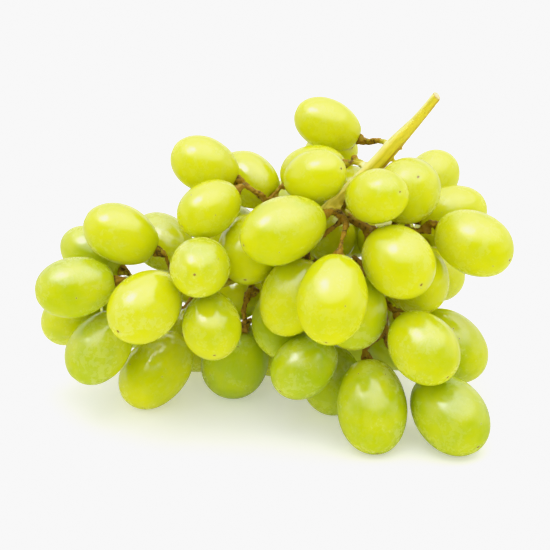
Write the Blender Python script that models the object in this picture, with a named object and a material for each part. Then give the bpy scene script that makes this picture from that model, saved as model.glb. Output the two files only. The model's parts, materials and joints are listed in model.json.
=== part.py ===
"""A bunch of white table grapes, lying on a flat surface with its stalk standing up to one side.

The stalk with all its branches is one solid. Every berry is a solid of its own, a hair clear of the
stalk that carries it and of the berries round it. Sizes in the tables are millimetres, with X along
the bunch, from its tail to its shoulder, Y away from the front and Z up from the surface.
"""

from collections import namedtuple

import bmesh
import bpy
import numpy as np
from mathutils import Matrix, Vector

MM = 0.001

# Berries
BERRY_SEGMENTS = 12
BERRY_RINGS = 8
EGG = 0.05  # how much fuller a berry is towards its tip
BERRY_CLEARANCE = 0.5
FOOT_FLAT = 0.35  # how far a resting berry is pressed flat by the surface
SETTLING_ROUNDS = 8
SETTLING_SWEEPS = 40
GIVE = np.array((0.5, 1.0, 0.6))  # berries give way most readily from front to back
HOME_PULL = 0.03
BERRY_PUSH = 0.55  # share of an overlap between two berries that one sweep takes out
STEM_PUSH = 0.35
LONGEST_MOVE = 1.5
NEAREST = 32  # berries whose middles are further apart than this never touch
NEAR_STEM = 19  # a stalk further than this from a berry's middle never touches it

# Stalk
STEM_CLEARANCE = 0.5
CUP_GAP = 0.35  # between the end of a berry's stalk and its berry
CUP_RADIUS = 1.9
CUP_LENGTH = 2.6
STALK_RADIUS = 0.9
STALK_ROOT_RADIUS = 1.15
STALK_POINTS = 7
STALK_BEND = 0.3  # how far a berry's stalk swings out before it turns back to its branch
ROOT_AIM = 3  # a berry's stalk leaves its branch this far behind its cup, where it can
ROUTING_SWEEPS = 80
ROUTING_EASE = 0.25  # how much one sweep straightens a berry's stalk
ROUTING_PUSH = 0.6
BRANCH_STEP = 4
CURVE_STEPS = 12

Berry = namedtuple("Berry", "branch middle length width tip rests", defaults=(False,))
Branch = namedtuple("Branch", "points radii")

# The stalk runs from its cut end down into the bunch and along to the tail. The others fork from it.
BRANCHES = {
    "rachis": Branch(
        ((51.6, 16.2, 99.2), (44.8, 14, 91.2), (37.5, 11, 84), (32, 9, 78), (24, 6, 71), (15, 5, 63), (5, 5, 53),
         (-8, 3, 44), (-23, -2, 40), (-38, -3, 41), (-47, -4, 43)),
        (1.75, 1.95, 2.8, 2.9, 2.6, 2.1, 1.9, 1.8, 1.7, 1.4, 1.2),
    ),
    "crown": Branch(((5, 5, 53), (1, 2, 62), (-4, -2, 72)), (1.6, 1.3, 1.2)),
    "top": Branch(((37, 11, 83), (35, 15, 83), (33, 20, 82)), (1.4, 1.2, 1.1)),
    "side": Branch(((31, 9, 77), (27, 12, 77), (25, 18, 77)), (1.6, 1.4, 1.2)),
    "front": Branch(((16, 5, 64), (20, -5, 67), (22, -14, 67)), (1.6, 1.4, 1.3)),
    "wing": Branch(((18, 5, 66), (30, -1, 60), (41, 0, 59), (49, -2, 60)), (1.8, 1.6, 1.4, 1.2)),
    "foot": Branch(((29, 0, 60), (30, -9, 51), (34, -12, 38), (35, -15, 27)), (1.6, 1.5, 1.3, 1.2)),
    "under": Branch(((-6, 3, 45), (-8, -2, 40), (-10, -6, 34)), (1.6, 1.3, 1.2)),
    "rear": Branch(((3, 5, 51), (4, 15, 44), (9, 21, 35), (14, 18, 26)), (1.6, 1.4, 1.3, 1.2)),
    "rear_tail": Branch(((-20, -1, 40), (-24, 9, 36), (-28, 13, 28)), (1.5, 1.3, 1.2)),
}

# Each berry by the branch that carries it: its middle, its length and width, and the way its tip points.
BERRIES = {
    "foot_1": Berry("foot", (31, -31, 13), 31, 22, (0.1, -0.65, -0.75), True),
    "foot_2": Berry("foot", (53, -33, 12), 30, 22, (0.55, -0.7, -0.4), True),
    "foot_3": Berry("foot", (41, -31, 34), 26, 20.5, (0.55, -0.7, -0.45)),
    "foot_4": Berry("foot", (56, -8, 24), 27, 20, (0.65, -0.3, -0.65)),
    "foot_5": Berry("foot", (26, -19, 41), 24, 20, (-0.2, -0.55, -0.8)),
    "foot_6": Berry("foot", (39, 8, 19), 26, 21, (0.4, 0.5, -0.7)),
    "wing_1": Berry("wing", (37, -23, 58), 26, 21.5, (0.5, -0.8, -0.25)),
    "wing_2": Berry("wing", (44, -4, 44), 25, 20.5, (0.4, -0.6, -0.7)),
    "wing_3": Berry("wing", (61, -10, 60), 27, 20, (0.8, -0.55, -0.2)),
    "wing_4": Berry("wing", (57, 18, 58), 23.5, 17.5, (0.9, 0.2, 0.1)),
    "wing_5": Berry("wing", (51, 34, 63), 22, 17, (0.6, 0.5, 0.5)),
    "wing_6": Berry("wing", (40, 2, 71), 26, 20.5, (0.2, -0.7, 0.65)),
    "wing_7": Berry("wing", (31, -15, 77), 23, 17, (0.6, -0.7, 0.4)),
    "wing_8": Berry("wing", (51, 15, 39), 22, 17.5, (0.6, 0.4, -0.6)),
    "wing_9": Berry("wing", (38, 22, 46), 24, 19, (0.3, 0.9, -0.2)),
    "wing_10": Berry("wing", (50, 33, 45), 23, 18, (0.5, 0.8, -0.1)),
    "crown_1": Berry("crown", (12, -6, 79), 22, 16.5, (0.75, -0.5, 0.45)),
    "crown_2": Berry("crown", (-22, 8, 78), 23, 17.5, (-0.85, 0.1, 0.4)),
    "crown_3": Berry("crown", (-19, -11, 66.5), 22, 17, (-0.7, -0.5, -0.3)),
    "crown_4": Berry("crown", (-7, 22, 68), 24, 17.5, (-0.6, 0.6, 0.2)),
    "crown_5": Berry("crown", (-8, -9, 57), 24, 19.5, (-0.1, -0.8, -0.5)),
    "top_1": Berry("top", (17, 29, 84), 23, 16.5, (-0.9, 0.15, 0.4)),
    "top_2": Berry("top", (19, 41, 68), 22, 16.5, (-0.5, 0.6, -0.5)),
    "top_3": Berry("side", (13, 17, 70), 23, 17, (-0.8, 0.35, -0.35)),
    "top_4": Berry("rachis", (23, 27, 63), 22, 17, (0.3, 0.8, -0.4)),
    "front_1": Berry("front", (18, -34, 51), 29, 21.5, (-0.15, -0.7, -0.7)),
    "front_2": Berry("front", (3, -20, 68), 29, 20.5, (-0.85, -0.5, -0.15)),
    "front_3": Berry("front", (7, -19, 46), 26, 19.5, (-0.3, -0.35, -0.85)),
    "front_4": Berry("rachis", (19, 15, 52), 22, 17, (0.3, 0.8, -0.5)),
    "middle_1": Berry("rachis", (-23, -22, 56), 25, 18.5, (-0.1, -0.9, 0.2)),
    "middle_2": Berry("rachis", (-20, -25, 41), 23, 18.5, (0.1, -0.85, -0.5)),
    "middle_3": Berry("rachis", (-39, -25, 45), 27, 21, (-0.6, -0.75, -0.3)),
    "middle_4": Berry("rachis", (-36, 12, 50), 24, 18, (-0.6, 0.7, 0.2)),
    "middle_5": Berry("under", (-14, 14, 30), 22, 17.5, (-0.5, 0.7, -0.4)),
    "under_1": Berry("under", (1, -6, 29), 23, 18, (0.2, -0.6, -0.7)),
    "under_2": Berry("foot", (11, -25, 27), 24, 19, (-0.65, -0.6, -0.45)),
    "under_3": Berry("rear", (18, -8, 11), 24, 20, (0.3, -0.5, -0.8), True),
    "under_4": Berry("under", (-12, 3, 13), 28, 22, (-0.2, 0.25, -0.93), True),
    "tail_1": Berry("rachis", (-48, -5, 60), 25, 18.5, (-0.85, 0.1, 0.4)),
    "tail_2": Berry("rachis", (-62, -14, 46), 26, 19, (-0.98, -0.15, -0.1)),
    "tail_3": Berry("rachis", (-58, 8, 46), 23, 16.5, (-0.8, 0.4, 0.3)),
    "tail_4": Berry("rachis", (-63, 2, 27), 22, 17, (-0.7, 0.3, -0.6)),
    "tail_5": Berry("rachis", (-56, -9, 25), 26, 19.5, (-0.6, -0.4, -0.7)),
    "tail_6": Berry("rachis", (-49, 4, 33), 21, 17, (-0.4, 0.4, -0.8)),
    "tail_7": Berry("rachis", (-38, -3, 11), 29, 20.5, (-0.65, -0.45, -0.6), True),
    "rear_1": Berry("rear", (9, 34, 53), 25, 19.5, (-0.1, 0.9, 0.3)),
    "rear_2": Berry("rear", (-14, 26, 47), 25, 19.5, (-0.6, 0.7, 0.2)),
    "rear_3": Berry("rear", (27, 36, 43), 25, 19.5, (0.5, 0.8, 0.1)),
    "rear_4": Berry("rear", (14, 37, 29), 25, 19.5, (0.1, 0.9, -0.3)),
    "rear_5": Berry("rear", (-6, 30, 27), 25, 19.5, (-0.6, 0.7, -0.3)),
    "rear_6": Berry("rear", (0, 17, 10), 24, 19.5, (-0.4, 0.1, -0.8), True),
    "rear_7": Berry("rear", (28, 25, 11), 26, 20, (0.5, 0.4, -0.7), True),
    "rear_8": Berry("rear", (36, 24, 27), 25, 19.5, (0.8, 0.5, -0.1)),
    "rear_9": Berry("rear", (26, 9, 36), 22, 18, (0.8, -0.3, 0.3)),
    "rear_tail_1": Berry("rear_tail", (-27, 27, 30), 25, 19, (-0.3, 0.9, 0.1)),
    "rear_tail_2": Berry("rear_tail", (-27, 21, 12), 26, 20, (0.1, 0.5, -0.8), True),
    "rear_tail_3": Berry("rear_tail", (-47, 19, 19), 25, 19, (-0.8, 0.4, -0.3)),
}

GREEN = (0.62, 0.68, 0.07, 1)
STALK_GREEN = (0.42, 0.40, 0.10, 1)


def clear_scene():
    for leftover in list(bpy.data.objects):
        bpy.data.objects.remove(leftover)


def material(name, colour, roughness):
    made = bpy.data.materials.new(name)
    made.use_nodes = True
    shader = made.node_tree.nodes["Principled BSDF"]
    shader.inputs["Base Color"].default_value = colour
    shader.inputs["Roughness"].default_value = roughness
    shader.inputs["Metallic"].default_value = 0.0
    made.diffuse_color = colour
    return made


def unit(vectors):
    return vectors / np.linalg.norm(vectors, axis=-1, keepdims=True)


def along(points, step):
    """Evenly spaced points and their shares of the length, on a smooth curve through points."""
    points = np.array(points, float)
    padded = np.vstack((2 * points[0] - points[1], points, 2 * points[-1] - points[-2]))
    curve = []
    for before, start, end, after in zip(padded, padded[1:], padded[2:], padded[3:]):
        for t in np.linspace(0, 1, CURVE_STEPS, endpoint=False):
            curve.append(
                0.5 * (2 * start + (end - before) * t + (2 * before - 5 * start + 4 * end - after) * t**2
                       + (3 * start - before - 3 * end + after) * t**3)
            )
    curve = np.array(curve + [points[-1]])
    travelled = np.concatenate(([0], np.cumsum(np.linalg.norm(np.diff(curve, axis=0), axis=1))))
    places = np.linspace(0, travelled[-1], max(3, round(travelled[-1] / step) + 1))
    even = np.stack([np.interp(places, travelled, curve[:, axis]) for axis in range(3)], axis=1)
    return even, np.interp(places, travelled, np.linspace(0, 1, len(curve)))


class Wood:
    """A branch as a row of points along its middle, each with its radius."""

    def __init__(self, branch):
        self.points, share = along(branch.points, BRANCH_STEP)
        self.radii = np.interp(share, np.linspace(0, 1, len(branch.radii)), branch.radii)


def semi_axes(berry):
    """A matrix whose columns are the berry's half length along its tip, and its two half widths."""
    tip = Vector(berry.tip).normalized()
    turn = np.array(tip.to_track_quat("Z", "Y").to_matrix())
    return turn @ np.diag((berry.width / 2, berry.width / 2, berry.length / 2))


def reach(axes, way):
    """How far an ellipsoid reaches along unit ways, and the point where it does."""
    stretched = np.einsum("...ij,...i->...j", axes, way)
    size = np.linalg.norm(stretched, axis=-1, keepdims=True)
    return size[..., 0], np.einsum("...ij,...j->...i", axes, stretched / size)


def gap_between(offset, axes, other_axes):
    """The gap between two ellipsoids, less than 0 where they overlap, and the way that it is measured."""
    way = unit(offset)
    for _ in range(10):
        _, point = reach(axes, way)
        _, other_point = reach(other_axes, way)
        slope = offset - point - other_point
        along_way = np.sum(slope * way, axis=-1, keepdims=True)
        way = unit(way * np.sum(offset * way, axis=-1, keepdims=True) + slope - along_way * way)
    size, _ = reach(axes, way)
    other_size, _ = reach(other_axes, way)
    return np.sum(offset * way, axis=-1) - size - other_size, way


class Bunch:
    """Where every berry lies and how its own stalk reaches it."""

    def __init__(self, berries, wood, egg):
        self.berries = berries
        self.home = np.array([berry.middle for berry in berries.values()], float)
        self.tips = unit(np.array([berry.tip for berry in berries.values()], float))
        self.lengths = np.array([berry.length for berry in berries.values()], float)
        self.rests = np.array([berry.rests for berry in berries.values()])
        self.axes = np.array([semi_axes(berry) for berry in berries.values()])
        self.depths = -np.einsum("vj,nij->nvi", egg, self.axes)[..., 2].min(axis=1)
        self.middles = self.home.copy()
        self.wood = wood
        self.branches = [wood[berry.branch] for berry in berries.values()]
        self.stalks = []

    def obstacles(self):
        """The points that berries keep clear of, with their radii and the berry that each belongs to."""
        points = [branch.points for branch in self.wood.values()]
        radii = [branch.radii for branch in self.wood.values()]
        owners = [np.full(len(row), -1) for row in points]
        for index, stalk in enumerate(self.stalks):
            points.append(stalk[1:-2])
            radii.append(np.full(len(stalk) - 3, STALK_RADIUS))
            owners.append(np.full(len(stalk) - 3, index))
        return np.vstack(points), np.concatenate(radii), np.concatenate(owners)

    def settle(self, sweeps, pull):
        """Eases the berries off each other, off the stalks and onto the surface."""
        points, radii, owners = self.obstacles()
        balls = radii[:, None, None] * np.eye(3)
        cup_ball = CUP_RADIUS * np.eye(3)
        numbers = np.arange(len(self.middles))
        first, second = np.triu_indices(len(self.middles), 1)
        for _ in range(sweeps):
            shift = pull * (self.home - self.middles)
            offset = self.middles[second] - self.middles[first]
            close = np.linalg.norm(offset, axis=1) < NEAREST
            one, two = first[close], second[close]
            gap, way = gap_between(offset[close], self.axes[one], self.axes[two])
            push = BERRY_PUSH * np.minimum(gap - BERRY_CLEARANCE, 0)[:, None] * way
            np.add.at(shift, one, push * GIVE)
            np.add.at(shift, two, -push * GIVE)
            offset = self.middles[:, None] - points[None]
            close = (np.linalg.norm(offset, axis=2) < NEAR_STEM) & (numbers[:, None] != owners[None])
            berry, point = np.nonzero(close)
            gap, way = gap_between(offset[berry, point], self.axes[berry], balls[point])
            push = STEM_PUSH * np.minimum(gap - STEM_CLEARANCE, 0)[:, None] * way
            np.add.at(shift, berry, -push * GIVE)
            cups = self.middles - self.tips * (self.lengths / 2 + CUP_GAP + CUP_LENGTH / 2)[:, None]
            offset = self.middles[:, None] - cups[None]
            close = (np.linalg.norm(offset, axis=2) < NEAR_STEM) & (numbers[:, None] != numbers[None])
            berry, cup = np.nonzero(close)
            gap, way = gap_between(offset[berry, cup], self.axes[berry], np.broadcast_to(cup_ball, (len(cup), 3, 3)))
            push = STEM_PUSH * np.minimum(gap - STEM_CLEARANCE, 0)[:, None] * way
            np.add.at(shift, berry, -push * GIVE)
            np.add.at(shift, cup, push * GIVE)
            self.middles += np.clip(shift, -LONGEST_MOVE, LONGEST_MOVE)
            low = self.depths - FOOT_FLAT
            height = np.maximum(self.middles[:, 2], self.depths + FOOT_FLAT)
            self.middles[:, 2] = np.where(self.rests, low, height)

    def route(self):
        """Bends every berry's stalk clear of the berries, from its branch to just short of its berry."""
        self.stalks = []
        for index in range(len(self.middles)):
            tip = self.tips[index]
            end = self.middles[index] - tip * (self.lengths[index] / 2 + CUP_GAP)
            neck = end - tip * CUP_LENGTH
            branch = self.branches[index].points
            root = branch[np.argmin(np.linalg.norm(branch - neck + tip * ROOT_AIM, axis=1))]
            share = np.linspace(0, 1, STALK_POINTS - 1)[:, None]
            bend = neck - tip * STALK_BEND * np.linalg.norm(neck - root)
            stalk = (1 - share) ** 2 * root + 2 * share * (1 - share) * bend + share**2 * neck
            for _ in range(ROUTING_SWEEPS):
                straight = (stalk[:-2] + stalk[2:]) / 2
                inner = stalk[1:-1] + ROUTING_EASE * (straight - stalk[1:-1])
                offset = inner[:, None] - self.middles[None]
                point, near = np.nonzero(np.linalg.norm(offset, axis=2) < NEAR_STEM)
                ball = np.broadcast_to(np.eye(3) * (STALK_RADIUS + STEM_CLEARANCE), (len(point), 3, 3))
                gap, way = gap_between(offset[point, near], self.axes[near], ball)
                np.add.at(inner, point, -ROUTING_PUSH * np.minimum(gap, 0)[:, None] * way)
                stalk[1:-1] = inner
            self.stalks.append(np.vstack((stalk, end)))


def tube(name, points, radii, sides=6):
    """A closed tube along points, as a mesh object."""
    data = bpy.data.curves.new(name, "CURVE")
    data.dimensions = "3D"
    data.bevel_depth = MM
    data.bevel_resolution = (sides - 4) // 2
    data.use_fill_caps = True
    spline = data.splines.new("POLY")
    spline.points.add(len(points) - 1)
    for point, place, radius in zip(spline.points, points, radii):
        point.co = (*(place * MM), 1)
        point.radius = radius
    curve = bpy.data.objects.new(name, data)
    bpy.context.scene.collection.objects.link(curve)
    bpy.context.view_layer.update()
    mesh = bpy.data.meshes.new_from_object(curve.evaluated_get(bpy.context.evaluated_depsgraph_get()))
    bpy.data.objects.remove(curve)
    shape = bmesh.new()
    shape.from_mesh(mesh)
    bmesh.ops.remove_doubles(shape, verts=shape.verts, dist=1e-6)
    bmesh.ops.recalc_face_normals(shape, faces=shape.faces)
    shape.to_mesh(mesh)
    shape.free()
    return bpy.data.objects.new(name, mesh)


def stalk_radii():
    share = np.linspace(0, 1, STALK_POINTS - 1)
    radii = STALK_RADIUS + (STALK_ROOT_RADIUS - STALK_RADIUS) * (1 - share) ** 2
    return np.append(radii, CUP_RADIUS)


def make_stem(parts, bunch, finish):
    """The stalk, its branches and every berry's own stalk, joined into one solid."""
    twigs = bpy.data.collections.new("twigs")
    bpy.context.scene.collection.children.link(twigs)
    for name, branch in bunch.wood.items():
        if name == "rachis":
            stem = tube("stem", branch.points, branch.radii, 8)
        else:
            twigs.objects.link(tube(name, branch.points, branch.radii))
    for name, stalk in zip(bunch.berries, bunch.stalks):
        twigs.objects.link(tube("stalk_" + name, stalk, stalk_radii()))
    parts.objects.link(stem)
    join = stem.modifiers.new("join", "BOOLEAN")
    join.operation = "UNION"
    join.operand_type = "COLLECTION"
    join.collection = twigs
    bpy.context.view_layer.objects.active = stem
    bpy.ops.object.modifier_apply(modifier="join")
    for twig in list(twigs.objects):
        bpy.data.objects.remove(twig)
    bpy.data.collections.remove(twigs)
    stem.data.materials.clear()
    stem.data.materials.append(finish)


def make_egg():
    """A round mesh one unit across each way from its middle, a little fuller towards its tip."""
    egg = bpy.data.meshes.new("egg")
    shape = bmesh.new()
    bmesh.ops.create_uvsphere(shape, u_segments=BERRY_SEGMENTS, v_segments=BERRY_RINGS, radius=1)
    for vertex in shape.verts:
        vertex.co.xy *= 1 + EGG * vertex.co.z
    shape.to_mesh(egg)
    shape.free()
    return egg


def make_berry(parts, egg, name, middle, axes, rests, finish):
    """An egg of a berry, pressed flat where it rests on the surface."""
    shape = bmesh.new()
    shape.from_mesh(egg)
    bmesh.ops.transform(shape, verts=shape.verts, matrix=Matrix((axes * MM).tolist()).to_4x4())
    if rests:
        everything = shape.verts[:] + shape.edges[:] + shape.faces[:]
        floor = (0, 0, -middle[2] * MM)
        bmesh.ops.bisect_plane(shape, geom=everything, plane_co=floor, plane_no=(0, 0, -1), clear_outer=True)
        bmesh.ops.holes_fill(shape, edges=[edge for edge in shape.edges if edge.is_boundary])
    bmesh.ops.recalc_face_normals(shape, faces=shape.faces)
    mesh = bpy.data.meshes.new(name)
    shape.to_mesh(mesh)
    shape.free()
    mesh.shade_smooth()
    mesh.materials.append(finish)
    berry = bpy.data.objects.new(name, mesh)
    berry.location = Vector(middle) * MM
    parts.objects.link(berry)


def centre_footprint(parts):
    """Hangs everything from an empty that puts the origin under the middle of the bunch."""
    bpy.context.view_layer.update()
    corners = np.array([part.matrix_world @ Vector(corner) for part in parts.objects for corner in part.bound_box])
    middle = (corners.min(axis=0) + corners.max(axis=0)) / 2
    base = bpy.data.objects.new("bunch_origin", None)
    base.location = (-middle[0], -middle[1], 0)
    for part in list(parts.objects):
        part.parent = base
    parts.objects.link(base)


def main():
    clear_scene()
    parts = bpy.data.collections.new("bunch_of_grapes")
    bpy.context.scene.collection.children.link(parts)
    skin = material("berry_skin", GREEN, 0.3)
    bark = material("stalk_bark", STALK_GREEN, 0.7)
    egg = make_egg()
    corners = np.array([tuple(vertex.co) for vertex in egg.vertices])
    bunch = Bunch(BERRIES, {name: Wood(branch) for name, branch in BRANCHES.items()}, corners)
    for turn in range(SETTLING_ROUNDS):
        bunch.settle(SETTLING_SWEEPS, HOME_PULL if turn < SETTLING_ROUNDS - 2 else 0)
        bunch.route()
    make_stem(parts, bunch, bark)
    for name, middle, axes, rests in zip(BERRIES, bunch.middles, bunch.axes, bunch.rests):
        make_berry(parts, egg, "grape_" + name, middle, axes, rests, skin)
    bpy.data.meshes.remove(egg)
    centre_footprint(parts)


main()
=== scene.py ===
"""The looks of a bunch of white table grapes: waxy, faintly see-through berries on a warty stalk.

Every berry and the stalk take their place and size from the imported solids. Sizes are metres.
"""

import json
import math
import random
from collections import namedtuple

import bpy
import numpy as np
from bpy.props import FloatProperty, FloatVectorProperty, IntProperty, PointerProperty
from mathutils import Matrix, Vector

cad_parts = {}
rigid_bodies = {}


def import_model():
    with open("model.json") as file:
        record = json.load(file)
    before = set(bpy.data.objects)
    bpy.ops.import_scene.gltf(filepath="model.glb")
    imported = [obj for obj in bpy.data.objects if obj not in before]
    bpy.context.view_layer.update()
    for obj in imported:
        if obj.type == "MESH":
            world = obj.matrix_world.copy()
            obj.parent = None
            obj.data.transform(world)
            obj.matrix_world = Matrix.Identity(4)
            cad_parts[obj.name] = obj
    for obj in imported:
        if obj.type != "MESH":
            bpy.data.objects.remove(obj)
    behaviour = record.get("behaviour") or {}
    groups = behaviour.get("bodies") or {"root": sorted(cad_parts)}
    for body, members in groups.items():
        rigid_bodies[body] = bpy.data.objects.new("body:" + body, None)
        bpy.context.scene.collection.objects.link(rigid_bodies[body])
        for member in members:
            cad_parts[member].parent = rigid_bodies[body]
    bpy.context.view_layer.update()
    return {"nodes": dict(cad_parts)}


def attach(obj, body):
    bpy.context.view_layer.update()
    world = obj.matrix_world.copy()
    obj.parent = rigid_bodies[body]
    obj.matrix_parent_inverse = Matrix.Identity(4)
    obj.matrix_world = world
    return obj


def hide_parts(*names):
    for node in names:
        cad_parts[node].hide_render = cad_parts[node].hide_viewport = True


bl_info = {
    "name": "Bunch of grapes",
    "version": (1, 0, 0),
    "blender": (4, 5, 0),
    "location": "View3D > Sidebar > Grapes",
    "description": "Dresses the bunch of grapes with its berries, its stalk and a plain stage",
    "category": "Object",
}

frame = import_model()

Fit = namedtuple("Fit", "middle tip half_length half_width")
MM = 0.001
EGG = 0.05  # how much fuller a berry is towards its tip, as in the solids
FOOT_FLAT = 0.05  # corners of a solid lower than this lie on its pressed foot, in millimetres
PRESSED = 0.3  # a tip that falls short of its egg by more than this was pressed flat, in millimetres
FLOOR_GAP = 0.00002  # how far the skins stay above the floor
SAME_PLACE = 0.000001  # what lies nearer than this counts as one place

KNOB_DEPTH = 0.45  # how far the middle of a knob lies inside the end of its berry, in millimetres
KNOB_SIZE = (0.00205, 0.00205, 0.0009)  # half sizes of a knob, the last along its berry
CUT_SLANT = (0.15, -0.45, 0.1)  # how the cut end turns away from the line of the stalk
CUT_LENGTH = 0.9  # how much of the solid the slanting cut takes off, in millimetres
RIDGE_WAY = (0.62, -0.70, -0.35)  # from the middle of the main stalk to the brown line that runs down it; painted light goes on the opposite side
BROWNER_BELOW = 66  # below this height the bark is more olive, brown and warty the deeper it lies, in millimetres
RIDGE_ABOVE = 70  # the brown line and the one-sided painted light stop at this height, in millimetres
CUT_ABOVE = 90  # the cut end is above this, in millimetres

# The middle line of the stalk, from its cut end down into the bunch and along to the tail, in millimetres.
STALK_LINE = (
    (52.5, 14.7, 99.2), (45.7, 12.5, 91.2), (38.4, 9.5, 84), (32.9, 7.5, 78), (24.9, 4.5, 71),
    (15.9, 3.5, 63), (5.9, 3.5, 53), (-7.1, 1.5, 44), (-22.1, -3.5, 40), (-37.1, -4.5, 41),
    (-46.1, -5.5, 43),
)

# How dusty the berries of each part of the bunch are.
DUST = {
    "top": 0.15, "wing": 0.35, "crown": 0.35, "front": 0.5, "middle": 0.9, "tail": 0.85, "foot": 0.9,
    "under": 0.8, "rear": 0.6,
}

# Dry spurs on the stalk: where each starts and ends, and its radius where it starts, in millimetres.
STUBS = (
    ((37.4, 8.2, 79.6), (39.6, 7.4, 78.4), 0.8),
    ((39.8, 9.2, 83.0), (41.2, 8.6, 82.4), 0.6),
    ((29.0, -14.4, 52.8), (24.4, -12.8, 55.4), 1.2),
    ((-8.2, -3.0, 27.4), (-6.4, -2.2, 29.0), 1.5),
)

# How ripe the berries of each part of the bunch are. The ones that hang highest are the most golden.
RIPENESS = {
    "top": 0.95, "wing": 0.85, "crown": 0.85, "front": 0.75, "middle": 0.7, "tail": 0.6, "foot": 0.5,
    "under": 0.3, "rear": 0.6,
}

# How bright each amount of light comes out in the picture.
TONE_SPAN = 2.4
TONES = ((0.12, 0.12), (0.3, 0.3), (0.6, 0.59), (0.75, 0.71), (0.9, 0.82), (1.02, 0.90), (1.15, 0.937))

# The way from the bunch to the softbox that its skins mirror, and to the wide light that falls on it.
SOFTBOX_WAY = (-0.45, -0.2, 0.87)
SUN_WAY = (0.02, -0.15, 0.97)

# The place in the bunch that the camera looks at, and the width of its film in millimetres.
CAMERA_AIM = (0.00086, 0.0135, 0.0372)
FILM_WIDTH = 36


class GrapeSettings(bpy.types.PropertyGroup):
    """Sizes and colours of the berries."""

    segments: IntProperty(name="Segments", description="Faces round a berry", default=56, min=12)
    rings: IntProperty(
        name="Rings", description="Rings of faces from end to end of a berry", default=44, min=8
    )
    lump_height: FloatProperty(
        name="Lump height", description="How far a berry's skin swells and dips",
        default=0.0004, unit="LENGTH",
    )
    lump_size: FloatProperty(
        name="Lump size", description="Width of a swelling in the skin", default=0.011, unit="LENGTH"
    )
    fit: FloatProperty(
        name="Fit", description="Size of a berry against its solid", default=0.988, subtype="FACTOR"
    )
    seed: IntProperty(name="Seed", description="Picks each berry's ripeness", default=7)
    green: FloatVectorProperty(
        name="Green flesh", description="Colour of a less ripe berry", default=(0.38, 0.49, 0.001), size=3,
        subtype="COLOR",
    )
    gold: FloatVectorProperty(
        name="Golden flesh", description="Colour of a ripe berry", default=(0.65, 0.675, 0.001), size=3,
        subtype="COLOR",
    )
    bloom: FloatVectorProperty(
        name="Bloom", description="Colour of the dusty film on the skin", default=(0.80, 0.84, 0.40), size=3,
        subtype="COLOR",
    )
    knob: FloatVectorProperty(
        name="Knob ring", description="Colour of the skin round the stalk",
        default=(0.38, 0.30, 0.02), size=3, subtype="COLOR",
    )
    fleck: FloatVectorProperty(
        name="Fleck", description="Colour of the flecks and of the scar at the tip",
        default=(0.24, 0.13, 0.001), size=3, subtype="COLOR",
    )


class StalkSettings(bpy.types.PropertyGroup):
    """Sizes and colours of the stalk."""

    grain: FloatProperty(
        name="Grain", description="Size of the faces that the stalk is remade with",
        default=0.00036, unit="LENGTH",
    )
    swell: FloatProperty(
        name="Swell", description="How far the bark stands out from its solid", default=-0.0001, unit="LENGTH"
    )
    wart_height: FloatProperty(
        name="Wart height", description="How far the warts stand out", default=0.0007, unit="LENGTH"
    )
    wart_size: FloatProperty(name="Wart size", description="Width of a wart", default=0.0009, unit="LENGTH")
    green: FloatVectorProperty(
        name="Green bark", description="Colour of the bark on the main stalk",
        default=(0.72, 0.60, 0.025), size=3, subtype="COLOR",
    )
    olive: FloatVectorProperty(
        name="Olive bark", description="Colour of the bark on the twigs", default=(0.40, 0.35, 0.008), size=3,
        subtype="COLOR",
    )
    brown: FloatVectorProperty(
        name="Brown bark", description="Colour of the old bark",
        default=(0.30, 0.17, 0.006), size=3, subtype="COLOR",
    )
    dark: FloatVectorProperty(
        name="Dark bark", description="Colour of the creases and flecks in the bark",
        default=(0.05, 0.03, 0.002), size=3, subtype="COLOR",
    )
    # Painted light: this pale colour goes on the upper left side of the main stalk, where the light falls.
    painted_lit_side: FloatVectorProperty(
        name="Lit bark", description="Colour of the pale side of the main stalk", default=(0.95, 0.90, 0.42),
        size=3, subtype="COLOR",
    )
    streak: FloatVectorProperty(
        name="Streak", description="Colour of the lines along the main stalk", default=(0.42, 0.38, 0.01),
        size=3, subtype="COLOR",
    )
    line: FloatVectorProperty(
        name="Brown line", description="Colour of the line down the stalk's side",
        default=(0.36, 0.15, 0.015), size=3, subtype="COLOR",
    )
    rim: FloatVectorProperty(
        name="Rim", description="Colour of the bark's edge round the cut end", default=(0.45, 0.26, 0.04),
        size=3, subtype="COLOR",
    )
    pith: FloatVectorProperty(
        name="Pith", description="Colour of the cut end", default=(0.92, 0.80, 0.42), size=3, subtype="COLOR"
    )


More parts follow.
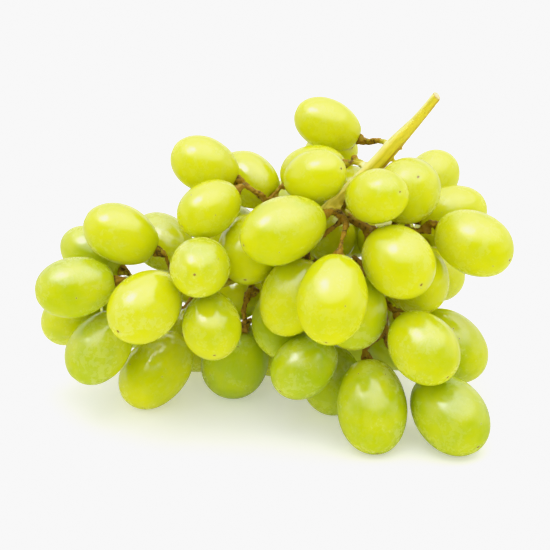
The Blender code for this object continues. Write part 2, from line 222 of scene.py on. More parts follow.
class StageSettings(bpy.types.PropertyGroup):
    """The floor, the lights and the camera."""

    floor: FloatVectorProperty(
        name="Floor", description="Colour of the floor", default=(0.92, 0.92, 0.92), size=3, subtype="COLOR"
    )
    floor_gloss: FloatProperty(
        name="Floor gloss", description="Share of the floor's light that mirrors in the skins", default=0.5,
        subtype="FACTOR",
    )
    floor_glow: FloatProperty(
        name="Floor glow", description="Light that shines up through the floor", default=0.30
    )
    softbox: FloatProperty(name="Softbox", description="Strength of the wide light from above", default=1.35)
    softbox_size: FloatProperty(
        name="Softbox size", description="How wide the softbox looks from the bunch",
        default=math.radians(58), subtype="ANGLE",
    )
    room: FloatProperty(name="Room", description="Brightness of the pale room", default=0.95)
    mirrored_core: FloatProperty(
        name="Mirrored core", description="Brightness of the softbox where it mirrors in the skins",
        default=13,
    )
    mirrored_ceiling: FloatProperty(
        name="Mirrored ceiling", description="Brightness of the ceiling where it mirrors in the skins",
        default=3.4,
    )
    mirrored_back: FloatProperty(
        name="Mirrored back", description="Brightness of the far side where it mirrors in the skins",
        default=1.5,
    )
    mirrored_front: FloatProperty(
        name="Mirrored front", description="Brightness of the near side where it mirrors in the skins",
        default=0.05,
    )
    elevation: FloatProperty(
        name="Elevation", description="How far the camera looks down",
        default=math.radians(24), subtype="ANGLE",
    )
    distance: FloatProperty(
        name="Distance", description="From the camera to the middle of the bunch", default=0.7, unit="LENGTH"
    )
    lens: FloatProperty(name="Lens", description="Focal length in millimetres", default=141)


# Places and shapes read from the solids


def corners_of(node):
    """The different corners of a solid, in millimetres."""
    mesh = frame["nodes"][node].data
    corners = np.empty(len(mesh.vertices) * 3)
    mesh.vertices.foreach_get("co", corners)
    return np.unique((corners.reshape(-1, 3) / MM).round(3), axis=0)


def fit_berry(node, stem_corners):
    """The middle, tip direction and half sizes of the egg that a berry's solid follows, in millimetres."""
    corners = corners_of(node)
    corners = corners[corners[:, 2] > FOOT_FLAT]
    start = corners.mean(axis=0)
    x, y, z = (corners - start).T
    terms = np.stack((x * x, y * y, z * z, 2 * x * y, 2 * x * z, 2 * y * z, 2 * x, 2 * y, 2 * z), axis=1)
    a, b, c, d, e, f, g, h, i = np.linalg.lstsq(terms, np.ones(len(corners)), rcond=None)[0]
    form = np.array(((a, d, e), (d, b, f), (e, f, c)))
    middle = np.linalg.solve(form, -np.array((g, h, i)))
    curvatures, ways = np.linalg.eigh(form / (1 + middle @ form @ middle))
    half_length = curvatures[0] ** -0.5
    half_width = (curvatures[1] * curvatures[2]) ** -0.25
    tip = ways[:, 0]
    middle = middle + start
    ends = (middle + tip * half_length, middle - tip * half_length)
    spans = [np.linalg.norm(stem_corners - end, axis=1).min() for end in ends]
    if spans[0] < spans[1]:
        tip = -tip
    along = (corners - middle) @ tip
    stalk_end = -along.min()
    tip_end = half_length if along.max() < half_length - PRESSED else along.max()
    half_length = (stalk_end + tip_end) / 2
    middle = middle + tip * (tip_end - stalk_end) / 2
    return Fit(middle, tip, half_length, half_width)


def berry_fits():
    stem_corners = corners_of("stem")
    names = sorted(name for name in frame["nodes"] if name.startswith("grape_"))
    return {name: fit_berry(name, stem_corners) for name in names}


def turned_to(way):
    """The turn that points +Z along way."""
    return Vector(way).to_track_quat("Z", "Y")


# Modelling helpers


def only(thing):
    """Selects one object and makes it the active one."""
    bpy.ops.object.select_all(action="DESELECT")
    thing.select_set(True)
    bpy.context.view_layer.objects.active = thing


def apply_modifier(thing, kind, **settings):
    only(thing)
    modifier = thing.modifiers.new(kind.lower(), kind)
    for name, value in settings.items():
        setattr(modifier, name, value)
    bpy.ops.object.modifier_apply(modifier=modifier.name)


def edit_faces(thing, wanted):
    """Opens a mesh in edit mode with only the wanted faces selected."""
    only(thing)
    bpy.ops.object.mode_set(mode="EDIT")
    bpy.ops.mesh.select_mode(type="FACE")
    bpy.ops.mesh.select_all(action="DESELECT")
    bpy.ops.object.mode_set(mode="OBJECT")
    for face in thing.data.polygons:
        face.select = wanted(face)
    bpy.ops.object.mode_set(mode="EDIT")


def close_rings(thing, end, rings):
    """Adds finer rings of faces round one end of a unit berry."""
    for _ in range(rings):
        reach = max(face.center.z * end for face in thing.data.polygons)
        edit_faces(thing, lambda face: face.center.z * end > reach - SAME_PLACE)
        bpy.ops.mesh.inset(thickness=0.028, depth=0)
        bpy.ops.object.mode_set(mode="OBJECT")


def sink_end(thing, end, depth, width):
    """Sinks the skin smoothly round one end of a unit berry."""
    reach = max(face.center.z * end for face in thing.data.polygons)
    edit_faces(thing, lambda face: face.center.z * end > reach - SAME_PLACE)
    bpy.ops.transform.translate(
        value=(0, 0, -end * depth), use_proportional_edit=True, proportional_edit_falloff="SMOOTH",
        proportional_size=width,
    )
    bpy.ops.object.mode_set(mode="OBJECT")


def texture(name, kind, size, **settings):
    made = bpy.data.textures.new(name, kind)
    made.noise_scale = size
    for key, value in settings.items():
        setattr(made, key, value)
    return made


def places_of(thing):
    """Where each corner of a mesh is, in millimetres."""
    corners = np.empty(len(thing.data.vertices) * 3)
    thing.data.vertices.foreach_get("co", corners)
    return corners.reshape(-1, 3) / MM


def store(thing, name, values):
    """Keeps one value for each corner of a mesh, for its material to read."""
    stored = thing.data.attributes.new(name, "FLOAT", "POINT")
    stored.data.foreach_set("value", np.asarray(values, np.float32))


# Material helpers


class Nodes:
    """Adds nodes to one node tree and links them as they are named."""

    def __init__(self, tree):
        self.tree = tree

    def add(self, kind, sockets=None, **settings):
        node = self.tree.nodes.new(kind)
        for name, value in settings.items():
            setattr(node, name, value)
        for name, value in (sockets or {}).items():
            self.join(value, node.inputs[name])
        return node

    def join(self, value, socket):
        if isinstance(value, bpy.types.NodeSocket):
            self.tree.links.new(value, socket)
        elif socket.type == "RGBA" and len(value) == 3:
            socket.default_value = (*value, 1)
        else:
            socket.default_value = value

    def noise(self, place, scale, detail=2.0, roughness=0.5, distortion=0.0):
        sockets = {"Vector": place, "Scale": scale, "Detail": detail, "Roughness": roughness}
        sockets["Distortion"] = distortion
        return self.add("ShaderNodeTexNoise", sockets).outputs["Fac"]

    def span(self, value, low, high, to_low=0.0, to_high=1.0):
        """Runs smoothly from to_low, where value is low, to to_high, where it is high."""
        sockets = {"Value": value, "From Min": low, "From Max": high, "To Min": to_low, "To Max": to_high}
        return self.add("ShaderNodeMapRange", sockets, interpolation_type="SMOOTHSTEP").outputs["Result"]

    def math(self, kind, first, second=0.0):
        return self.add("ShaderNodeMath", {0: first, 1: second}, operation=kind).outputs[0]

    def times(self, first, second):
        return self.math("MULTIPLY", first, second)

    def mix(self, share, first, second):
        return self.add("ShaderNodeMix", {0: share, 6: first, 7: second}, data_type="RGBA").outputs[2]

    def attribute(self, name, output):
        return self.add("ShaderNodeAttribute", attribute_name=name).outputs[output]

    def stretch(self, place, scale, turn=(0.0, 0.0, 0.0)):
        """Draws a pattern out by scale along the axes that turn gives."""
        sockets = {"Vector": place, "Scale": scale, "Rotation": turn}
        return self.add("ShaderNodeMapping", sockets, vector_type="TEXTURE").outputs[0]

    def facing(self, way, direction):
        sockets = {0: way, 1: direction}
        return self.add("ShaderNodeVectorMath", sockets, operation="DOT_PRODUCT").outputs["Value"]

    def use(self, group, sockets, output):
        node = self.add("ShaderNodeGroup", node_tree=group)
        for name, value in sockets.items():
            self.join(value, node.inputs[name])
        return node.outputs[output]


def new_group(name, inputs, outputs):
    """An empty shader node group: the group, its Nodes, its input sockets and its output sockets."""
    group = bpy.data.node_groups.new(name, "ShaderNodeTree")
    kinds = {"vector": "NodeSocketVector", "value": "NodeSocketFloat"}
    for label, kind, default in inputs:
        socket = group.interface.new_socket(label, in_out="INPUT", socket_type=kinds[kind])
        if default is not None:
            socket.default_value = default
    for label in outputs:
        group.interface.new_socket(label, in_out="OUTPUT", socket_type="NodeSocketFloat")
    nodes = Nodes(group)
    entry = nodes.add("NodeGroupInput")
    leave = nodes.add("NodeGroupOutput")
    return group, nodes, entry.outputs, leave.inputs


def patches_group():
    """Soft patches with broken edges, as where a dusty film has been rubbed off."""
    inputs = (("Place", "vector", None), ("Size", "value", 0.008), ("Cover", "value", 0.5))
    group, nodes, entry, leave = new_group("patches", inputs, ("Mask",))
    scale = nodes.math("DIVIDE", 1.0, entry["Size"])
    broad = nodes.noise(entry["Place"], scale, 5.0, 0.62, 0.4)
    low = nodes.math("SUBTRACT", 0.66, nodes.times(entry["Cover"], 0.36))
    high = nodes.math("ADD", low, 0.13)
    nodes.join(nodes.span(broad, low, high), leave["Mask"])
    return group


def flecks_group():
    """Small round flecks, each with a halo, strewn through the skin."""
    inputs = (("Place", "vector", None), ("Spacing", "value", 0.0045), ("Radius", "value", 0.00028))
    group, nodes, entry, leave = new_group("flecks", inputs, ("Fleck", "Halo"))
    scale = nodes.math("DIVIDE", 1.0, entry["Spacing"])
    cells = nodes.add("ShaderNodeTexVoronoi", {"Vector": entry["Place"], "Scale": scale})
    reach = nodes.times(cells.outputs["Distance"], entry["Spacing"])
    inner = nodes.times(entry["Radius"], 0.55)
    outer = nodes.times(entry["Radius"], 2.2)
    nodes.join(nodes.span(reach, inner, entry["Radius"], 1.0, 0.0), leave["Fleck"])
    nodes.join(nodes.span(reach, entry["Radius"], outer, 1.0, 0.0), leave["Halo"])
    return group


def shared_groups():
    groups = bpy.data.node_groups
    return groups.get("patches") or patches_group(), groups.get("flecks") or flecks_group()


def grape_skin(settings, patches, flecks):
    """Waxy skin over see-through flesh, with bloom, faint veins, flecks and a brown scar at the tip."""
    skin = bpy.data.materials.new("grape_skin")
    skin.use_nodes = True
    nodes = Nodes(skin.node_tree)
    place = nodes.add("ShaderNodeTexCoord").outputs["Object"]
    unit_place = nodes.attribute("unit_place", "Vector")
    ripeness = nodes.attribute("ripeness", "Fac")
    dust = nodes.attribute("dust", "Fac")
    apart = nodes.add("ShaderNodeSeparateXYZ", {0: unit_place}).outputs
    across = nodes.add("ShaderNodeCombineXYZ", {"X": apart["X"], "Y": apart["Y"]}).outputs[0]
    from_axis = nodes.add("ShaderNodeVectorMath", {0: across}, operation="LENGTH").outputs["Value"]
    at_tip = nodes.span(apart["Z"], 0.5, 0.6)
    at_stalk = nodes.span(apart["Z"], -0.5, -0.6)

    # Flesh
    cloudy = nodes.noise(place, 95.0, 3.0, 0.5, 0.2)
    ripe = nodes.math("ADD", ripeness, nodes.span(cloudy, 0.3, 0.7, -0.16, 0.16))
    colour = nodes.mix(nodes.span(ripe, 0.0, 1.0), settings.green, settings.gold)
    streaky = nodes.noise(nodes.stretch(unit_place, (0.12, 0.12, 0.8)), 1.0, 3.0, 0.6, 0.6)
    colour = nodes.mix(nodes.times(nodes.span(streaky, 0.50, 0.66), 0.03), colour, settings.bloom)

    # Bloom
    broad = nodes.use(patches, {"Place": place, "Size": 0.012, "Cover": 0.55}, "Mask")
    fine = nodes.use(patches, {"Place": place, "Size": 0.0019, "Cover": 0.58}, "Mask")
    film = nodes.times(broad, nodes.span(fine, 0.0, 1.0, 0.45, 1.0))
    film = nodes.math("ADD", nodes.times(film, 0.8), nodes.times(fine, 0.2))
    colour = nodes.mix(nodes.times(nodes.times(film, dust), 0.22), colour, settings.bloom)

    # Flecks
    spots = {"Place": place, "Spacing": 0.0052, "Radius": 0.00027}
    fleck = nodes.use(flecks, spots, "Fleck")
    halo = nodes.use(flecks, spots, "Halo")
    colour = nodes.mix(nodes.times(halo, 0.14), colour, settings.bloom)
    colour = nodes.mix(fleck, colour, settings.fleck)

    # Ends
    ragged = nodes.noise(place, 1400.0, 2.0, 0.6)
    rough_axis = nodes.math("ADD", from_axis, nodes.span(ragged, 0.2, 0.8, -0.02, 0.02))
    scar = nodes.times(nodes.span(rough_axis, 0.035, 0.055, 1.0, 0.0), at_tip)
    ring = nodes.times(nodes.span(rough_axis, 0.05, 0.15, 1.0, 0.0), at_tip)
    colour = nodes.mix(nodes.times(ring, 0.12), colour, settings.bloom)
    colour = nodes.mix(scar, colour, settings.fleck)
    collar = nodes.times(nodes.span(rough_axis, 0.17, 0.27, 1.0, 0.0), at_stalk)
    colour = nodes.mix(nodes.times(collar, 0.6), colour, settings.knob)

    gloss = nodes.math("ADD", nodes.span(film, 0.1, 0.9, 0.18, 0.38), nodes.times(fleck, 0.3))
    gloss = nodes.math("ADD", gloss, nodes.times(scar, 0.5))
    grain = nodes.noise(place, 2600.0, 2.0, 0.5)
    ripple = nodes.noise(place, 240.0, 2.0, 0.5)
    height = nodes.math("ADD", nodes.times(grain, 0.015), nodes.times(ripple, 0.2))
    height = nodes.math("ADD", height, nodes.times(halo, 0.12))
    height = nodes.math("SUBTRACT", height, nodes.times(scar, 0.5))
    bump = nodes.add("ShaderNodeBump", {"Height": height, "Strength": 0.35, "Distance": 0.0003}).outputs[0]

    shader = skin.node_tree.nodes["Principled BSDF"]
    nodes.join(colour, shader.inputs["Base Color"])
    nodes.join(gloss, shader.inputs["Roughness"])
    nodes.join(bump, shader.inputs["Normal"])
    shader.inputs["IOR"].default_value = 1.46
    shader.inputs["Subsurface Weight"].default_value = 1.0
    shader.inputs["Subsurface Radius"].default_value = (1.0, 0.9, 0.06)
    shader.inputs["Subsurface Scale"].default_value = 0.005
    return skin


def stalk_bark(settings, patches, flecks):
    """Smooth green bark that turns brown, rough and warty towards the berries, with a pale cut end and
    painted light up one side.
    """
    bark = bpy.data.materials.new("stalk_bark")
    bark.use_nodes = True
    nodes = Nodes(bark.node_tree)
    place = nodes.add("ShaderNodeTexCoord").outputs["Object"]
    age = nodes.attribute("age", "Fac")
    cut = nodes.attribute("cut", "Fac")
    ridge = nodes.attribute("ridge", "Fac")
    fibres = nodes.stretch(place, (1.0, 1.0, 12.0), fibre_turn())

    blotch = nodes.noise(place, 380.0, 4.0, 0.62, 0.5)
    aged = nodes.math("ADD", age, nodes.span(blotch, 0.25, 0.75, -0.45, 0.45))
    # Painted light: the main stalk turns pale on its upper left side, away from the brown line.
    young_bark_and_painted_light = nodes.mix(nodes.span(ridge, -0.9, 0.3, 0.9, 0.0), settings.green, settings.painted_lit_side)
    streak = nodes.span(nodes.noise(fibres, 1000.0, 3.0, 0.6), 0.48, 0.62)
    young_bark_and_painted_light = nodes.mix(nodes.times(streak, 0.45), young_bark_and_painted_light, settings.streak)
    colour = nodes.mix(nodes.span(age, 0.05, 0.4), young_bark_and_painted_light, settings.olive)
    colour = nodes.mix(nodes.span(aged, 0.5, 0.85), colour, settings.brown)
    crease = nodes.use(patches, {"Place": place, "Size": 0.0017, "Cover": 0.42}, "Mask")
    crease = nodes.times(crease, nodes.span(age, 0.1, 0.7, 0.05, 0.9))
    colour = nodes.mix(crease, colour, settings.dark)
    fleck = nodes.use(flecks, {"Place": place, "Spacing": 0.0024, "Radius": 0.00028}, "Fleck")
    colour = nodes.mix(nodes.times(fleck, nodes.span(age, 0.0, 0.6, 0.35, 0.8)), colour, settings.dark)
    broken = nodes.span(nodes.noise(fibres, 1100.0, 4.0, 0.7), 0.42, 0.56)
    line = nodes.times(nodes.span(ridge, 0.90, 0.985), broken)
    colour = nodes.mix(nodes.times(line, 0.85), colour, settings.line)
    colour = nodes.mix(nodes.times(nodes.span(cut, 0.3, 0.7), 0.9), colour, settings.pith)
    rim = nodes.times(nodes.span(cut, 0.05, 0.4), nodes.span(cut, 0.9, 0.5))
    colour = nodes.mix(nodes.times(rim, 0.6), colour, settings.rim)

    fibre = nodes.noise(fibres, 2600.0, 3.0, 0.6)
    bumps = nodes.noise(place, 900.0, 3.0, 0.55)
    bumps = nodes.times(bumps, nodes.span(age, 0.0, 0.5, 0.2, 1.0))
    height = nodes.math("ADD", nodes.times(fibre, 0.5), bumps)
    bump = nodes.add("ShaderNodeBump", {"Height": height, "Strength": 0.6, "Distance": 0.0004}).outputs[0]
    shader = bark.node_tree.nodes["Principled BSDF"]
    nodes.join(colour, shader.inputs["Base Color"])
    nodes.join(nodes.span(age, 0.0, 1.0, 0.40, 0.62), shader.inputs["Roughness"])
    nodes.join(bump, shader.inputs["Normal"])
    shader.inputs["Specular IOR Level"].default_value = 0.2
    shader.inputs["Subsurface Weight"].default_value = 0.4
    shader.inputs["Subsurface Radius"].default_value = (1.0, 0.8, 0.15)
    shader.inputs["Subsurface Scale"].default_value = 0.0012
    return bark


def fibre_turn():
    """The turn that lays the fibres of the bark along the upright part of the stalk."""
    way = Vector(STALK_LINE[0]) - Vector(STALK_LINE[4])
    return tuple(turned_to(way).to_euler())


# Operators


class GRAPES_OT_berries(bpy.types.Operator):
    """Makes every berry from one modelled berry, each at its own size, place and ripeness"""

    bl_idname = "grapes.berries"
    bl_label = "Berries"

    def execute(self, context):
        settings = context.scene.grape_settings
        model = self.model_berry(settings)
        skin = grape_skin(settings, *shared_groups())
        lumps = texture("berry_lumps", "CLOUDS", settings.lump_size, noise_depth=1)
        draw = random.Random(settings.seed)
        for node, fit in berry_fits().items():
            self.copy_berry(model, node, fit, settings, skin, lumps, draw)
        bpy.data.objects.remove(model)
        return {"FINISHED"}

    def model_berry(self, settings):
        """A berry of unit half sizes, its stalk end at -Z and its tip at +Z."""
        bpy.ops.object.select_all(action="DESELECT")
        bpy.ops.mesh.primitive_uv_sphere_add(segments=settings.segments, ring_count=settings.rings, radius=1)
        berry = bpy.context.object
        apply_modifier(berry, "SIMPLE_DEFORM", deform_method="TAPER", deform_axis="Z", factor=2 * EGG)
        close_rings(berry, -1, 1)
        close_rings(berry, 1, 2)
        corners = places_of(berry) * MM
        stored = berry.data.attributes.new("unit_place", "FLOAT_VECTOR", "POINT")
        stored.data.foreach_set("vector", corners.astype(np.float32).ravel())
        sink_end(berry, -1, depth=0.05, width=0.45)
        sink_end(berry, 1, depth=0.014, width=0.12)
        berry.data.shade_smooth()
        return berry

    def copy_berry(self, model, node, fit, settings, skin, lumps, draw):
        mesh = model.data.copy()
        mesh.name = node.replace("grape", "berry")
        berry = bpy.data.objects.new(mesh.name, mesh)
        bpy.context.scene.collection.objects.link(berry)
        turn = turned_to(fit.tip).to_matrix() @ Matrix.Rotation(draw.uniform(0, math.tau), 3, "Z")
        half = np.diag((fit.half_width, fit.half_width, fit.half_length)) * MM * settings.fit
        place = (turn @ Matrix(half.tolist())).to_4x4()
        place.translation = Vector(fit.middle) * MM
        mesh.transform(place)
        apply_modifier(
            berry, "DISPLACE", texture=lumps, texture_coords="LOCAL", strength=settings.lump_height,
            mid_level=0.5,
        )
        for vertex in mesh.vertices:
            vertex.co.z = max(vertex.co.z, FLOOR_GAP)
        part = node.split("_")[1]
        ripeness = RIPENESS[part] + draw.gauss(0, 0.08)
        store(berry, "ripeness", [ripeness] * len(mesh.vertices))
        store(berry, "dust", [DUST[part] * draw.uniform(0.5, 1.3)] * len(mesh.vertices))
        mesh.materials.clear()
        mesh.materials.append(skin)
        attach(berry, "root")
        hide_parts(node)


class GRAPES_OT_stalk(bpy.types.Operator):
    """Makes the stalk and its twigs, rounder and wartier than their solid, grown into the berries"""

    bl_idname = "grapes.stalk"
    bl_label = "Stalk"

    def execute(self, context):
        settings = context.scene.stalk_settings
        stalk = self.copy_solid()
        self.trim_cut(stalk)
        collars = [self.add_collar(fit) for fit in berry_fits().values()]
        self.join(stalk, collars + self.add_stubs())
        apply_modifier(stalk, "REMESH", mode="VOXEL", voxel_size=settings.grain)
        self.drop_crumbs(stalk)
        apply_modifier(stalk, "SMOOTH", factor=0.5, iterations=6)
        apply_modifier(stalk, "DISPLACE", strength=settings.swell, mid_level=0.0)
        age, ridge = self.read_bark(stalk)
        self.raise_warts(stalk, settings, age)
        store(stalk, "age", age)
        store(stalk, "ridge", ridge)
        store(stalk, "cut", self.read_cut(stalk))
        stalk.data.shade_smooth()
        stalk.data.materials.clear()
        stalk.data.materials.append(stalk_bark(settings, *shared_groups()))
        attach(stalk, "root")
        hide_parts("stem")
        return {"FINISHED"}

    def copy_solid(self):
        mesh = frame["nodes"]["stem"].data.copy()
        stalk = bpy.data.objects.new("stalk", mesh)
        bpy.context.scene.collection.objects.link(stalk)
        only(stalk)
        bpy.ops.object.mode_set(mode="EDIT")
        bpy.ops.mesh.select_all(action="SELECT")
        bpy.ops.mesh.remove_doubles(threshold=SAME_PLACE)
        bpy.ops.object.mode_set(mode="OBJECT")
        return stalk

    def cut_plane(self):
        """A point on the slanting face where the stalk was cut, and the way that it faces."""
        way = Vector(STALK_LINE[0]) - Vector(STALK_LINE[1])
        face = (way.normalized() + Vector(CUT_SLANT)).normalized()
        return Vector(STALK_LINE[0]) - way.normalized() * CUT_LENGTH, face

    def trim_cut(self, stalk):
        point, face = self.cut_plane()
        only(stalk)
        bpy.ops.object.mode_set(mode="EDIT")
        bpy.ops.mesh.select_all(action="SELECT")
        bpy.ops.mesh.bisect(plane_co=point * MM, plane_no=face, use_fill=True, clear_outer=True)
        bpy.ops.object.mode_set(mode="OBJECT")

    def add_collar(self, fit):
        """A flat knob where a berry's own stalk widens and grips it."""
        end = Vector(fit.middle - fit.tip * (fit.half_length - KNOB_DEPTH)) * MM
        bpy.ops.object.select_all(action="DESELECT")
        bpy.ops.mesh.primitive_uv_sphere_add(
            segments=16, ring_count=10, radius=1, location=end, rotation=turned_to(fit.tip).to_euler(),
            scale=KNOB_SIZE,
        )
        return bpy.context.object

    def add_stubs(self):
        """The dry scraps and spurs where something broke off the stalk."""
        stubs = []
        for start, end, radius in STUBS:
            way = Vector(end) - Vector(start)
            bpy.ops.object.select_all(action="DESELECT")
            bpy.ops.mesh.primitive_cone_add(
                vertices=10, radius1=radius * MM, radius2=radius * 0.6 * MM, depth=way.length * MM,
                location=(Vector(start) + way / 2) * MM, rotation=turned_to(way).to_euler(),
            )
            stubs.append(bpy.context.object)
        return stubs

    def join(self, stalk, extras):
        only(stalk)
        for extra in extras:
            extra.select_set(True)
        bpy.ops.object.join()

    def drop_crumbs(self, stalk):
        """Deletes loose specks, and keeps all that hangs together with the cut end."""
        top = max(stalk.data.vertices, key=lambda vertex: vertex.co.z).index
        only(stalk)
        bpy.ops.object.mode_set(mode="EDIT")
        bpy.ops.mesh.select_mode(type="VERT")
        bpy.ops.mesh.select_all(action="DESELECT")
        bpy.ops.object.mode_set(mode="OBJECT")
        stalk.data.vertices[top].select = True
        bpy.ops.object.mode_set(mode="EDIT")
        bpy.ops.mesh.select_linked()
        bpy.ops.mesh.select_all(action="INVERT")
        bpy.ops.mesh.delete(type="VERT")
        bpy.ops.object.mode_set(mode="OBJECT")

    def raise_warts(self, stalk, settings, age):
        twigs = stalk.vertex_groups.new(name="twigs")
        for index, share in enumerate(age):
            twigs.add([index], float(0.12 + 0.88 * share), "REPLACE")
        knots = texture("knots", "CLOUDS", settings.wart_size * 3.0, noise_depth=1)
        warts = texture("warts", "VORONOI", settings.wart_size, weight_1=-1.0)
        for bumps, strength in ((knots, settings.wart_height * 1.2), (warts, settings.wart_height * 0.8)):
            apply_modifier(
                stalk, "DISPLACE", texture=bumps, texture_coords="LOCAL", strength=strength, mid_level=0.55,
                vertex_group="twigs",
            )

    def read_bark(self, stalk):
        """Two values for each corner.

        Its age is 0 on the main stalk and 1 well out along a twig. Its ridge is 1 along the lower
        right of the main stalk, where a brown line runs down it, and lowest on the upper left, where the
        material paints the most light on the bark.
        """
        places = places_of(stalk)
        line = np.array(STALK_LINE, float)
        nearest = np.full(len(places), 1e9)
        offsets = np.zeros_like(places)
        for start, end in zip(line, line[1:]):
            run = end - start
            share = np.clip((places - start) @ run / (run @ run), 0, 1)
            offset = places - start - share[:, None] * run
            span = np.linalg.norm(offset, axis=1)
            closer = span < nearest
            nearest[closer] = span[closer]
            offsets[closer] = offset[closer]
        # The lower the main stalk lies in the bunch, the more olive, brown and warty it is made.
        inner = np.clip((BROWNER_BELOW - places[:, 2]) / 12, 0, 1)
        age = np.clip(np.clip((nearest - 3.2) / 6.0, 0, 1) + 0.45 * inner, 0, 1)
        ridge = offsets @ np.array(RIDGE_WAY) / np.maximum(nearest, 0.5)
        ridge[(nearest > 4) | (places[:, 2] < RIDGE_ABOVE)] = 0
        return age, ridge

    def read_cut(self, stalk):
        """1 on the face where the stalk was cut, 0 elsewhere."""
        point, face = self.cut_plane()
        places = places_of(stalk)
        depth = (places - np.array(point)) @ np.array(face)
        return np.clip((depth + 0.7) / 0.8, 0, 1) * (places[:, 2] > CUT_ABOVE)


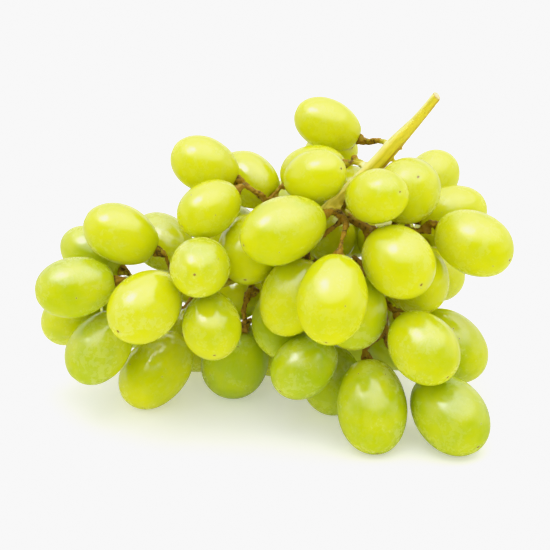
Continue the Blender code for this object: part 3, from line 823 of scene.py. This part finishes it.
class GRAPES_OT_stage(bpy.types.Operator):
    """Adds the floor, the lights and the camera"""

    bl_idname = "grapes.stage"
    bl_label = "Stage"

    def execute(self, context):
        settings = context.scene.stage_settings
        self.add_floor(settings)
        self.add_sun("softbox", settings.softbox, settings.softbox_size)
        self.light_room(context, settings)
        self.add_camera(context, settings)
        self.soften_whites(context.scene.view_settings)
        return {"FINISHED"}

    def add_floor(self, settings):
        bpy.ops.object.select_all(action="DESELECT")
        bpy.ops.mesh.primitive_plane_add(size=12, location=(0, 0, 0))
        floor = bpy.context.object
        floor.name = "floor"
        paper = bpy.data.materials.new("floor_paper")
        paper.use_nodes = True
        shader = paper.node_tree.nodes["Principled BSDF"]
        shader.inputs["Roughness"].default_value = 0.9
        shader.inputs["Specular IOR Level"].default_value = 0.0
        nodes = Nodes(paper.node_tree)
        gloss = nodes.add("ShaderNodeLightPath").outputs["Is Glossy Ray"]
        place = nodes.add("ShaderNodeTexCoord").outputs["Object"]
        behind = nodes.add("ShaderNodeSeparateXYZ", {0: place}).outputs["Y"]
        share = nodes.span(behind, -0.09, 0.03, 0.1, settings.floor_gloss)
        dimmed = nodes.mix(share, (0, 0, 0), settings.floor)
        colour = nodes.mix(gloss, settings.floor, dimmed)
        nodes.join(colour, shader.inputs["Base Color"])
        nodes.join(colour, shader.inputs["Emission Color"])
        shader.inputs["Emission Strength"].default_value = settings.floor_glow
        floor.data.materials.append(paper)

    def add_sun(self, name, strength, size):
        """A wide light from above, the same all over the floor."""
        data = bpy.data.lights.new(name, "SUN")
        data.energy = strength
        data.angle = size
        light = bpy.data.objects.new(name, data)
        bpy.context.scene.collection.objects.link(light)
        light.rotation_euler = turned_to(SUN_WAY).to_euler()

    def light_room(self, context, settings):
        """A pale room. In the skins mirror its bright ceiling, the softbox, and a dim near side."""
        world = bpy.data.worlds.new("room")
        world.use_nodes = True
        world.cycles.sampling_method = "NONE"
        context.scene.world = world
        nodes = Nodes(world.node_tree)
        way = nodes.add("ShaderNodeTexCoord").outputs["Generated"]
        gloss = nodes.add("ShaderNodeLightPath").outputs["Is Glossy Ray"]
        toward = nodes.facing(way, tuple(Vector(SOFTBOX_WAY).normalized()))
        core = nodes.span(toward, 0.95, 0.992, 0.0, settings.mirrored_core)
        height = nodes.facing(way, (0.0, 0.0, 1.0))
        depth = nodes.facing(way, (0.0, 1.0, 0.0))
        bright = nodes.span(depth, -0.1, 0.75, settings.mirrored_ceiling, settings.mirrored_ceiling * 0.45)
        ceiling = nodes.times(nodes.span(height, 0.52, 0.70), bright)
        sides = nodes.span(depth, -0.75, 0.0, settings.mirrored_front, settings.mirrored_back)
        mirrored = nodes.math("ADD", nodes.math("ADD", core, ceiling), sides)
        level = nodes.add("ShaderNodeMix", {0: gloss, 2: settings.room, 3: mirrored}).outputs[0]
        nodes.join(level, world.node_tree.nodes["Background"].inputs["Strength"])
        world.node_tree.nodes["Background"].inputs["Color"].default_value = (1, 1, 1, 1)

    def soften_whites(self, view):
        """Levels off the brightest tones as film does, for an even floor and soft highlights."""
        view.view_transform = "Standard"
        view.use_curve_mapping = True
        tones = view.curve_mapping
        tones.white_level = (TONE_SPAN, TONE_SPAN, TONE_SPAN)
        tones.extend = "HORIZONTAL"
        curve = tones.curves[3]
        for light, tone in TONES:
            curve.points.new(light / TONE_SPAN, tone)
        curve.points[-1].location = (1.0, TONES[-1][1])
        for point in curve.points:
            point.handle_type = "AUTO_CLAMPED"
        tones.update()

    def add_camera(self, context, settings):
        lens = bpy.data.cameras.new("camera")
        lens.lens = settings.lens
        lens.sensor_width = FILM_WIDTH
        lens.clip_start = 0.01
        camera = bpy.data.objects.new("camera", lens)
        context.scene.collection.objects.link(camera)
        back = Vector((0, -math.cos(settings.elevation), math.sin(settings.elevation)))
        camera.location = Vector(CAMERA_AIM) + settings.distance * back
        camera.rotation_euler = (-back).to_track_quat("-Z", "Y").to_euler()
        context.scene.camera = camera


class GRAPES_PT_panel(bpy.types.Panel):
    """Lists the pieces of the bunch"""

    bl_idname = "GRAPES_PT_panel"
    bl_label = "Bunch of grapes"
    bl_space_type = "VIEW_3D"
    bl_region_type = "UI"
    bl_category = "Grapes"

    def draw(self, context):
        pieces = (
            ("grape_settings", GRAPES_OT_berries),
            ("stalk_settings", GRAPES_OT_stalk),
            ("stage_settings", GRAPES_OT_stage),
        )
        for name, operator in pieces:
            group = getattr(context.scene, name)
            column = self.layout.box().column()
            for field in group.bl_rna.properties:
                if field.identifier not in {"rna_type", "name"}:
                    column.prop(group, field.identifier)
            column.operator(operator.bl_idname)


CLASSES = (
    GrapeSettings, StalkSettings, StageSettings, GRAPES_OT_berries, GRAPES_OT_stalk, GRAPES_OT_stage,
    GRAPES_PT_panel,
)


def register():
    for kind in CLASSES:
        bpy.utils.register_class(kind)
    bpy.types.Scene.grape_settings = PointerProperty(type=GrapeSettings)
    bpy.types.Scene.stalk_settings = PointerProperty(type=StalkSettings)
    bpy.types.Scene.stage_settings = PointerProperty(type=StageSettings)


def unregister():
    del bpy.types.Scene.stage_settings
    del bpy.types.Scene.stalk_settings
    del bpy.types.Scene.grape_settings
    for kind in reversed(CLASSES):
        bpy.utils.unregister_class(kind)


def main():
    register()
    bpy.ops.grapes.berries()
    bpy.ops.grapes.stalk()
    bpy.ops.grapes.stage()


if __name__ == "__main__":
    main()
